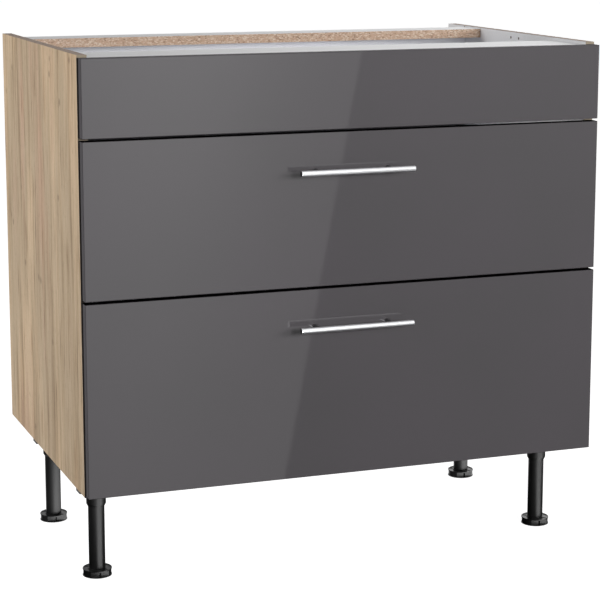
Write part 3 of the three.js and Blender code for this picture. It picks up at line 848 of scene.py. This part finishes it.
low_edge = add_node(
    tree, "ShaderNodeMath", {0: along_edge["Z"], 1: JOINT_EDGES_BELOW}, operation="LESS_THAN"
)
painted_joint_shade = add_node(
    tree, "ShaderNodeMath", {0: low_edge.outputs[0], 1: upward.outputs[0]}, operation="MULTIPLY"
)
border_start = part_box("fixed_front")[1].y - REAR_BORDER
at_rear = add_node(
    tree, "ShaderNodeMath", {0: along_edge["Y"], 1: border_start}, operation="GREATER_THAN"
)
painted_joint_shade = add_node(
    tree, "ShaderNodeMath", {0: painted_joint_shade.outputs[0], 1: at_rear.outputs[0]}, operation="MAXIMUM"
).outputs[0]
# Painted shade where the edges lie in a joint or along the rear border
strip = add_node(
    tree,
    "ShaderNodeMix",
    {0: painted_joint_shade, 6: tone.outputs["Color"], 7: paint(JOINT_PAINTED_SHADE)},
    data_type="RGBA",
)
shine = add_node(tree, "ShaderNodeMapRange", {"Value": painted_joint_shade, "To Min": 0.15, "To Max": 0.0})
skin = add_node(
    tree,
    "ShaderNodeBsdfPrincipled",
    {"Base Color": strip.outputs[2], "Roughness": 0.55, "Specular IOR Level": shine.outputs[0]},
)
tree.links.new(skin.outputs[0], out.inputs["Surface"])

for node_name, body in (
    ("fixed_front", "carcass"),
    ("drawer_front_upper", "upper_drawer"),
    ("drawer_front_lower", "lower_drawer"),
):
    panel = block_between(*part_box(node_name))
    bmesh.ops.bevel(
        panel,
        geom=panel.edges[:],
        offset=FRONT_EDGE_RADIUS,
        segments=3,
        profile=0.5,
        affect="EDGES",
        material=-1,
    )
    for face in panel.faces:
        face.material_index = 0 if abs(face.normal.y) > 0.99 else 1
    piece = add_piece(panel, f"{node_name}_panel", gloss, body, [node_name])
    piece.data.materials.append(band)

# Soft clear buffers, stuck on the rear of the drawer fronts near their corners: they keep the
# fronts 2 mm off the carcass
BUFFER_RADIUS = 0.004
BUFFER_HEIGHT = 0.0018
BUFFER_INSET = 0.0085  # from the side edge of the front
BUFFER_DROP = 0.030  # from its top and bottom edges
BUFFER_EASING = 0.0004

# Soft clear rubber, cast in drops: partly see-through, with a milky haze in clouds of 1.5 mm
rubber, tree, out = new_material("soft_clear_rubber")
place = add_node(tree, "ShaderNodeTexCoord").outputs["Object"]
fine = add_node(tree, "ShaderNodeMapping", {"Vector": place, "Scale": (1 / 0.0015,) * 3})
haze = add_node(
    tree, "ShaderNodeTexNoise", {"Vector": fine.outputs[0], "Scale": 1.0, "Detail": 2.0}
)
tone = add_node(
    tree,
    "ShaderNodeValToRGB",
    {0: haze.outputs["Fac"]},
    [(0.3, "#b4b6b8"), (0.7, "#c4c6c8")],
)
skin = add_node(
    tree,
    "ShaderNodeBsdfPrincipled",
    {
        "Base Color": tone.outputs["Color"],
        "Roughness": 0.35,
        "Transmission Weight": 0.4,
        "IOR": 1.45,
    },
)
tree.links.new(skin.outputs[0], out.inputs["Surface"])

for level in ("upper", "lower"):
    low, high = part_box(f"drawer_front_{level}")
    buffers = bmesh.new()
    for x in (low.x + BUFFER_INSET, high.x - BUFFER_INSET):
        for z in (low.z + BUFFER_DROP, high.z - BUFFER_DROP):
            stuck = Vector((x, high.y, z))
            tip = stuck + Vector((0, BUFFER_HEIGHT, 0))
            add_rod(buffers, BUFFER_RADIUS, stuck, tip, 24, BUFFER_EASING)
    add_piece(buffers, f"buffers_{level}", rubber, f"{level}_drawer")


# ---------------------------------------------------------------------------------------------
# Bar handles
# A 10 mm steel bar with eased ends on two 8 mm posts, all satin-chromed; the posts are painted
# darker, as painted shade.
# Two screws through the front hold each one.
# ---------------------------------------------------------------------------------------------
BAR_RADIUS = 0.005
BAR_EASING = 0.0006
POST_RADIUS = 0.004
POST_SPACING = 0.128
POST_START = 0.0005  # behind the bar
HANDLE_SCREW_WIDTH = 0.0080
HANDLE_SCREW_HEIGHT = 0.0022

# Satin chrome: bright, with a fine polish that runs along the bar, its lines drawn 0.4 mm wide,
# coarser than they are, to show. The bar's end faces and the posts are painted dark grey, as
# painted shade.
chrome, tree, out = new_material("satin_chrome")
place = add_node(tree, "ShaderNodeTexCoord").outputs["Object"]
along = add_node(
    tree, "ShaderNodeMapping", {"Vector": place, "Scale": (1 / 0.006, 1 / 0.0004, 1 / 0.0004)}
)
polish = add_node(
    tree, "ShaderNodeTexNoise", {"Vector": along.outputs[0], "Scale": 1.0, "Detail": 2.0}
)
satin = add_node(
    tree,
    "ShaderNodeMapRange",
    {
        "Value": polish.outputs["Fac"],
        "From Min": 0.3,
        "From Max": 0.7,
        "To Min": 0.36,
        "To Max": 0.40,
    },
)
tone = add_node(
    tree,
    "ShaderNodeValToRGB",
    {0: polish.outputs["Fac"]},
    [(0.3, "#dfe0e2"), (0.7, "#eeeef0")],
)
normal = add_node(tree, "ShaderNodeNewGeometry").outputs["True Normal"]
facing = add_node(tree, "ShaderNodeSeparateXYZ", {0: normal})
endwise = add_node(tree, "ShaderNodeMath", {0: facing.outputs["X"]}, operation="ABSOLUTE")
end_faces = add_node(
    tree, "ShaderNodeMath", {0: endwise.outputs[0], 1: 0.95}, operation="GREATER_THAN"
)
depth = add_node(tree, "ShaderNodeSeparateXYZ", {0: place}).outputs["Y"]
posts_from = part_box("handle_upper")[0].y + 2 * BAR_RADIUS + POST_START
behind_bar = add_node(tree, "ShaderNodeMath", {0: depth, 1: posts_from}, operation="GREATER_THAN")
# Painted shade: the end faces and the posts are painted dark grey
chrome_and_painted_shade = add_node(
    tree,
    "ShaderNodeMix",
    {0: end_faces.outputs[0], 6: tone.outputs["Color"], 7: paint("#4a494b")},
    data_type="RGBA",
)
chrome_and_painted_shade = add_node(
    tree,
    "ShaderNodeMix",
    {0: behind_bar.outputs[0], 6: chrome_and_painted_shade.outputs[2], 7: paint("#7c7b7e")},
    data_type="RGBA",
)
skin = add_node(
    tree,
    "ShaderNodeBsdfPrincipled",
    {"Base Color": chrome_and_painted_shade.outputs[2], "Metallic": 1.0, "Roughness": satin.outputs[0]},
)
tree.links.new(skin.outputs[0], out.inputs["Surface"])

bars = []
for level in ("upper", "lower"):
    low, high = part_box(f"handle_{level}")
    axis_y = low.y + BAR_RADIUS
    axis_z = (low.z + high.z) / 2
    bar_left = Vector((low.x, axis_y, axis_z))
    bar_right = Vector((high.x, axis_y, axis_z))
    handle = bmesh.new()
    add_rod(handle, BAR_RADIUS, bar_left, bar_right, 48, BAR_EASING)
    for sign in (-1, 1):
        post_x = sign * POST_SPACING / 2
        post_start = Vector((post_x, axis_y, axis_z))
        add_rod(handle, POST_RADIUS, post_start, Vector((post_x, high.y, axis_z)), 32)
    bars.append(
        add_piece(
            handle,
            f"bar_handle_{level}",
            chrome,
            f"{level}_drawer",
            [f"handle_{level}"],
        )
    )

# A low reflector in front, for the undersides of the bars alone. Bare metal has only a mirrored
# look, so it has to see this lamp.
bar_reflector = add_lamp("bar_reflector", (-0.5, -1.3, 0.02), (0, -0.3, 0.6), 1.2, 0.4, 28)
bar_reflector.visible_glossy = True
light_only(bar_reflector, "lit_by_the_reflector", bars)


def add_screw_head(shape, seat, outward, diameter, height):
    """Adds a round screw head with a cross recess, lying on a seat and facing outward."""
    half_cross = diameter * 0.26
    before = set(shape.verts)
    grid = bmesh.ops.create_grid(shape, x_segments=3, y_segments=3, size=half_cross)["verts"]
    faces = {face for vert in grid for face in vert.link_faces}
    rim = [edge for vert in grid for edge in vert.link_edges if edge.is_boundary]
    ring = bmesh.ops.create_circle(
        shape, segments=12, radius=diameter * 0.40, matrix=Matrix.Rotation(math.radians(15), 4, "Z")
    )["verts"]
    loop = list({edge for vert in ring for edge in vert.link_edges})
    bmesh.ops.bridge_loops(shape, edges=list(set(rim)) + loop)
    for growth, drop in ((1.25, 0.4), (1.0, 0.6)):
        grown = bmesh.ops.extrude_edge_only(shape, edges=loop)["geom"]
        ring = [item for item in grown if isinstance(item, bmesh.types.BMVert)]
        loop = [item for item in grown if isinstance(item, bmesh.types.BMEdge) and item.is_boundary]
        bmesh.ops.scale(shape, verts=ring, vec=(growth, growth, 1))
        bmesh.ops.translate(shape, verts=ring, vec=(0, 0, -height * drop))
    bmesh.ops.holes_fill(shape, edges=loop, sides=0)
    arm = half_cross / 3
    cross = [
        face
        for face in faces
        if min(abs(face.calc_center_median().x), abs(face.calc_center_median().y)) < arm / 2
    ]
    sunk = bmesh.ops.extrude_face_region(shape, geom=cross)["geom"]
    sunk = [item for item in sunk if isinstance(item, bmesh.types.BMVert)]
    bmesh.ops.scale(shape, verts=sunk, vec=(0.8, 0.8, 1))
    bmesh.ops.translate(shape, verts=sunk, vec=(0, 0, -height * 0.55))
    made = [vert for vert in shape.verts if vert not in before]
    turn = Vector(outward).to_track_quat("Z", "Y").to_matrix().to_4x4()
    seated = Matrix.Translation(seat) @ turn @ Matrix.Translation((0, 0, height))
    bmesh.ops.transform(shape, matrix=seated, verts=made)
    made_faces = {face for vert in made for face in vert.link_faces}
    bmesh.ops.recalc_face_normals(shape, faces=list(made_faces))


# Two screws come through the front from behind, into the posts
for level in ("upper", "lower"):
    low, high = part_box(f"handle_{level}")
    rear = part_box(f"drawer_front_{level}")[1].y
    screws = bmesh.new()
    for sign in (-1, 1):
        seat = Vector((sign * POST_SPACING / 2, rear, (low.z + high.z) / 2))
        add_screw_head(screws, seat, (0, 1, 0), HANDLE_SCREW_WIDTH, HANDLE_SCREW_HEIGHT)
    add_piece(screws, f"handle_screws_{level}", chrome, f"{level}_drawer")


# ---------------------------------------------------------------------------------------------
# Legs
# Black moulded plastic: a socket screwed under the carcass with a collar on gussets, a tube pushed
# into it, and a round foot whose screw levels the cabinet. The foot has flats and slots for
# turning it.
# ---------------------------------------------------------------------------------------------
# Moulded ABS-like plastic, black through and through, from a spark-roughened mould: satin, with a
# grain that is drawn 0.6 mm wide, coarser than it is, to show
black, tree, out = new_material("black_moulded_plastic")
place = add_node(tree, "ShaderNodeTexCoord").outputs["Object"]
fine = add_node(tree, "ShaderNodeMapping", {"Vector": place, "Scale": (1 / 0.0006,) * 3})
grain = add_node(
    tree, "ShaderNodeTexNoise", {"Vector": fine.outputs[0], "Scale": 1.0, "Detail": 2.0}
)
tone = add_node(
    tree,
    "ShaderNodeValToRGB",
    {0: grain.outputs["Fac"]},
    [(0.3, "#080808"), (0.7, "#0e0e0e")],
)
satin = add_node(
    tree,
    "ShaderNodeMapRange",
    {
        "Value": grain.outputs["Fac"],
        "From Min": 0.3,
        "From Max": 0.7,
        "To Min": 0.30,
        "To Max": 0.38,
    },
)
relief = add_node(
    tree, "ShaderNodeBump", {"Height": grain.outputs["Fac"], "Strength": 0.06, "Distance": 0.0001}
)
skin = add_node(
    tree,
    "ShaderNodeBsdfPrincipled",
    {
        "Base Color": tone.outputs["Color"],
        "Roughness": satin.outputs[0],
        "Normal": relief.outputs[0],
        "IOR": 1.54,
    },
)
tree.links.new(skin.outputs[0], out.inputs["Surface"])

PLASTIC_EASING = 0.0003


def solid_copy(node_name):
    """A merged copy of a CAD node, its flat faces joined up again."""
    shape = bmesh.new()
    shape.from_mesh(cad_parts[node_name].data)
    bmesh.ops.remove_doubles(shape, verts=shape.verts, dist=2e-6)
    bmesh.ops.dissolve_limit(
        shape,
        angle_limit=math.radians(0.4),
        verts=shape.verts,
        edges=shape.edges,
        use_dissolve_boundaries=False,
    )
    return shape


def add_easing(piece, width, angle=35):
    """Rounds the sharp edges of a piece."""
    easing = piece.modifiers.new("eased_edges", "BEVEL")
    easing.width = width
    easing.segments = 2
    easing.limit_method = "ANGLE"
    easing.angle_limit = math.radians(angle)
    easing.use_clamp_overlap = True
    piece.modifiers.move(len(piece.modifiers) - 1, 0)


# White cards on the floor, four wedges laid on one another in front of each leg, for that leg
# alone: its black plastic picks them up as a long soft highlight
CARD_LENGTH = 0.60
CARD_LIFT = 0.00005  # of each card over the one below
CARD_CORNERS = 5  # along its round border
# The wedges' first and last direction, in degrees to the right of -Y, and the cards' glow
CARD_WEDGES = ((-60, 125), (-33, 112), (-14, 92), (-1, 62))
CARD_GLOWS = (0.5, 1.1, 2.2, 3.3)

cards = []
for layer, strength in enumerate(CARD_GLOWS):
    card_white, tree, out = new_material(f"white_card_{layer}")
    glow = add_node(tree, "ShaderNodeEmission", {"Strength": strength})
    tree.links.new(glow.outputs[0], out.inputs["Surface"])
    cards.append(card_white)

for row in ("front", "rear"):
    for side in ("left", "right"):
        leg = f"{row}_{side}"
        leg_pieces = []
        for part, body in (("socket", "carcass"), ("tube", "carcass"), ("foot", f"foot_{leg}")):
            node_name = f"leg_{part}_{leg}"
            shape = solid_copy(node_name)
            piece = add_piece(shape, f"{part}_{leg}", black, body, [node_name])
            add_easing(piece, PLASTIC_EASING)
            leg_pieces.append(piece)
        low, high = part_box(f"leg_tube_{leg}")
        for layer, (left, right) in enumerate(CARD_WEDGES):
            apex = Vector(((low.x + high.x) / 2, low.y, (layer + 1) * CARD_LIFT))
            wedge = bmesh.new()
            corners = [apex]
            for k in range(CARD_CORNERS):
                angle = left + (right - left) * k / (CARD_CORNERS - 1)
                corners.append(apex + CARD_LENGTH * towards(angle, 0))
            wedge.faces.new([wedge.verts.new(corner) for corner in corners])
            card_mesh = bpy.data.meshes.new(f"card_{layer}_{leg}")
            wedge.to_mesh(card_mesh)
            wedge.free()
            card_mesh.materials.append(cards[layer])
            card = bpy.data.objects.new(f"card_{layer}_{leg}", card_mesh)
            bpy.context.scene.collection.objects.link(card)
            card.visible_camera = False
            card.visible_diffuse = False
            card.visible_shadow = False
            card.visible_transmission = False
            light_only(card, f"leg_{leg}_alone_{layer}", leg_pieces)


# ---------------------------------------------------------------------------------------------
# Runners and brackets
# Rolled steel strip with a bright zinc coat. The cabinet member is screwed to the side board, the
# middle member runs on its rail, and the drawer member lies under the drawer side. The zinc-coated
# screws here also hold the fixed front's angles and the leg sockets.
# ---------------------------------------------------------------------------------------------
# Zinc on rolled strip: cool grey, with streaks 0.8 mm wide along the strip and faint crystals
# 6 mm across
zinc, tree, out = new_material("bright_zinc_on_rolled_steel")
place = add_node(tree, "ShaderNodeTexCoord").outputs["Object"]
strip = add_node(
    tree, "ShaderNodeMapping", {"Vector": place, "Scale": (1 / 0.0008, 1 / 0.060, 1 / 0.0008)}
)
rolled = add_node(
    tree, "ShaderNodeTexNoise", {"Vector": strip.outputs[0], "Scale": 1.0, "Detail": 3.0}
)
crystal = add_node(tree, "ShaderNodeMapping", {"Vector": place, "Scale": (1 / 0.006,) * 3})
crystals = add_node(tree, "ShaderNodeTexVoronoi", {"Vector": crystal.outputs[0], "Scale": 1.0})
glint = add_node(tree, "ShaderNodeSeparateColor", {0: crystals.outputs["Color"]})
mixed = add_node(
    tree,
    "ShaderNodeMix",
    {0: 0.3, 2: rolled.outputs["Fac"], 3: glint.outputs[0]},
    data_type="FLOAT",
)
tone = add_node(
    tree,
    "ShaderNodeValToRGB",
    {0: mixed.outputs[0]},
    [(0.25, "#a9adb1"), (0.75, "#c5c9cc")],
)
satin = add_node(
    tree,
    "ShaderNodeMapRange",
    {"Value": mixed.outputs[0], "From Min": 0.25, "From Max": 0.75, "To Min": 0.26, "To Max": 0.42},
)
skin = add_node(
    tree,
    "ShaderNodeBsdfPrincipled",
    {"Base Color": tone.outputs["Color"], "Metallic": 1.0, "Roughness": satin.outputs[0]},
)
tree.links.new(skin.outputs[0], out.inputs["Surface"])

SHEET_EASING = 0.0003  # the strip's edges, rolled over by the shears
RUNNER_SCREW_SETBACKS = (0.035, 0.259, 0.355)  # from the front end of the cabinet member
RUNNER_SCREW_HEIGHT = 0.027  # above its lower edge
STRIP_THICKNESS = 0.0015
BRACKET_THICKNESS = 0.002
BRACKET_SCREW_INSET = 0.015  # from the top and bottom of a bracket
BOARD_SCREW_SETBACK = 0.012  # from the rear end of a bracket
FRONT_SCREW_REACH = 0.018  # from its flange on the board
SOCKET_SCREW_REACH = 0.024  # from the leg's axis, to either side
SOCKET_PLATE_THICKNESS = 0.004
# The zinc-coated screws: the width and height of their heads
BRACKET_SCREW = (0.0075, 0.0020)
RUNNER_SCREW = (0.0085, 0.0022)
SOCKET_SCREW = (0.0080, 0.0022)


def add_sheet_piece(node_name, material, body):
    """Puts an eased copy of a sheet-metal node in its place."""
    piece = add_piece(
        solid_copy(node_name), f"{node_name}_sheet", material, body, [node_name]
    )
    add_easing(piece, SHEET_EASING)


for side, sign in (("left", -1), ("right", 1)):
    add_sheet_piece(f"fixed_front_bracket_{side}", zinc, "carcass")
    low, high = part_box(f"fixed_front_bracket_{side}")
    wall = max(abs(low.x), abs(high.x)) - BRACKET_THICKNESS
    screws = bmesh.new()
    for z in (low.z + BRACKET_SCREW_INSET, high.z - BRACKET_SCREW_INSET):
        on_board = Vector((sign * wall, high.y - BOARD_SCREW_SETBACK, z))
        on_front = Vector((sign * (wall - FRONT_SCREW_REACH), low.y + BRACKET_THICKNESS, z))
        add_screw_head(screws, on_board, (-sign, 0, 0), *BRACKET_SCREW)
        add_screw_head(screws, on_front, (0, 1, 0), *BRACKET_SCREW)
    add_piece(screws, f"bracket_screws_{side}", zinc, "carcass")
    for level in ("upper", "lower"):
        add_sheet_piece(f"cabinet_runner_{level}_{side}", zinc, "carcass")
        add_sheet_piece(
            f"middle_runner_{level}_{side}", zinc, f"{level}_middle_runners"
        )
        add_sheet_piece(f"drawer_runner_{level}_{side}", zinc, f"{level}_drawer")
        low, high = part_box(f"cabinet_runner_{level}_{side}")
        wall = max(abs(low.x), abs(high.x)) - STRIP_THICKNESS
        screws = bmesh.new()
        for setback in RUNNER_SCREW_SETBACKS:
            seat = Vector((sign * wall, low.y + setback, low.z + RUNNER_SCREW_HEIGHT))
            add_screw_head(screws, seat, (-sign, 0, 0), *RUNNER_SCREW)
        add_piece(screws, f"runner_screws_{level}_{side}", zinc, "carcass")
    for row in ("front", "rear"):
        low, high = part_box(f"leg_tube_{row}_{side}")
        middle = (low + high) / 2
        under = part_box(f"leg_socket_{row}_{side}")[1].z - SOCKET_PLATE_THICKNESS
        screws = bmesh.new()
        for x in (middle.x - SOCKET_SCREW_REACH, middle.x + SOCKET_SCREW_REACH):
            for y in (middle.y - SOCKET_SCREW_REACH, middle.y + SOCKET_SCREW_REACH):
                add_screw_head(screws, Vector((x, y, under)), (0, 0, -1), *SOCKET_SCREW)
        add_piece(screws, f"socket_screws_{row}_{side}", zinc, "carcass")


# ---------------------------------------------------------------------------------------------
# Drawer bodies
# Hollow sides, rods and brackets of thin steel with a silver-grey powder coat; the bottom and the
# back are 16 mm board in dark grey melamine, the dark that shows in the gap above the drawer.
# ---------------------------------------------------------------------------------------------
# Powder coat: baked paint with a fine leather-like skin, 1.2 mm from bump to bump
coat, tree, out = new_material("silver_powder_coat")
place = add_node(tree, "ShaderNodeTexCoord").outputs["Object"]
fine = add_node(tree, "ShaderNodeMapping", {"Vector": place, "Scale": (1 / 0.0012,) * 3})
skin_bumps = add_node(
    tree, "ShaderNodeTexNoise", {"Vector": fine.outputs[0], "Scale": 1.0, "Detail": 1.0}
)
tone = add_node(
    tree,
    "ShaderNodeValToRGB",
    {0: skin_bumps.outputs["Fac"]},
    [(0.3, "#94979b"), (0.7, "#a0a3a7")],
)
relief = add_node(
    tree,
    "ShaderNodeBump",
    {"Height": skin_bumps.outputs["Fac"], "Strength": 0.12, "Distance": 0.0001},
)
skin = add_node(
    tree,
    "ShaderNodeBsdfPrincipled",
    {
        "Base Color": tone.outputs["Color"],
        "Metallic": 0.3,
        "Roughness": 0.42,
        "Normal": relief.outputs[0],
    },
)
tree.links.new(skin.outputs[0], out.inputs["Surface"])

# Dark grey melamine: the paper's fine grain under matt resin, drawn 1.4 mm wide to show
dark_melamine, tree, out = new_material("dark_grey_melamine")
place = add_node(tree, "ShaderNodeTexCoord").outputs["Object"]
fine = add_node(tree, "ShaderNodeMapping", {"Vector": place, "Scale": (1 / 0.0014,) * 3})
grain = add_node(
    tree, "ShaderNodeTexNoise", {"Vector": fine.outputs[0], "Scale": 1.0, "Detail": 3.0}
)
tone = add_node(
    tree,
    "ShaderNodeValToRGB",
    {0: grain.outputs["Fac"]},
    [(0.3, "#39383b"), (0.7, "#454447")],
)
relief = add_node(
    tree, "ShaderNodeBump", {"Height": grain.outputs["Fac"], "Strength": 0.08, "Distance": 0.0001}
)
skin = add_node(
    tree,
    "ShaderNodeBsdfPrincipled",
    {
        "Base Color": tone.outputs["Color"],
        "Roughness": 0.5,
        "Normal": relief.outputs[0],
        "IOR": 1.48,
    },
)
tree.links.new(skin.outputs[0], out.inputs["Surface"])

BACK_SCREW = (0.0070, 0.0018)
BACK_SCREW_RISES = (0.028, 0.068)  # over the lower end of a back bracket
BACK_SCREW_REACH = 0.005  # from its edge towards the side

for level in ("upper", "lower"):
    dress(f"drawer_bottom_{level}", dark_melamine)
    dress(f"drawer_back_{level}", dark_melamine)
    for side, sign in (("left", -1), ("right", 1)):
        for part in ("drawer_side", "gallery_rod", "rod_holder", "back_bracket"):
            add_sheet_piece(f"{part}_{level}_{side}", coat, f"{level}_drawer")
        low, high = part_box(f"back_bracket_{level}_{side}")
        screw_x = sign * (min(abs(low.x), abs(high.x)) + BACK_SCREW_REACH)
        screws = bmesh.new()
        for rise in BACK_SCREW_RISES:
            seat = Vector((screw_x, high.y, low.z + rise))
            add_screw_head(screws, seat, (0, 1, 0), *BACK_SCREW)
        add_piece(screws, f"back_screws_{level}_{side}", zinc, f"{level}_drawer")
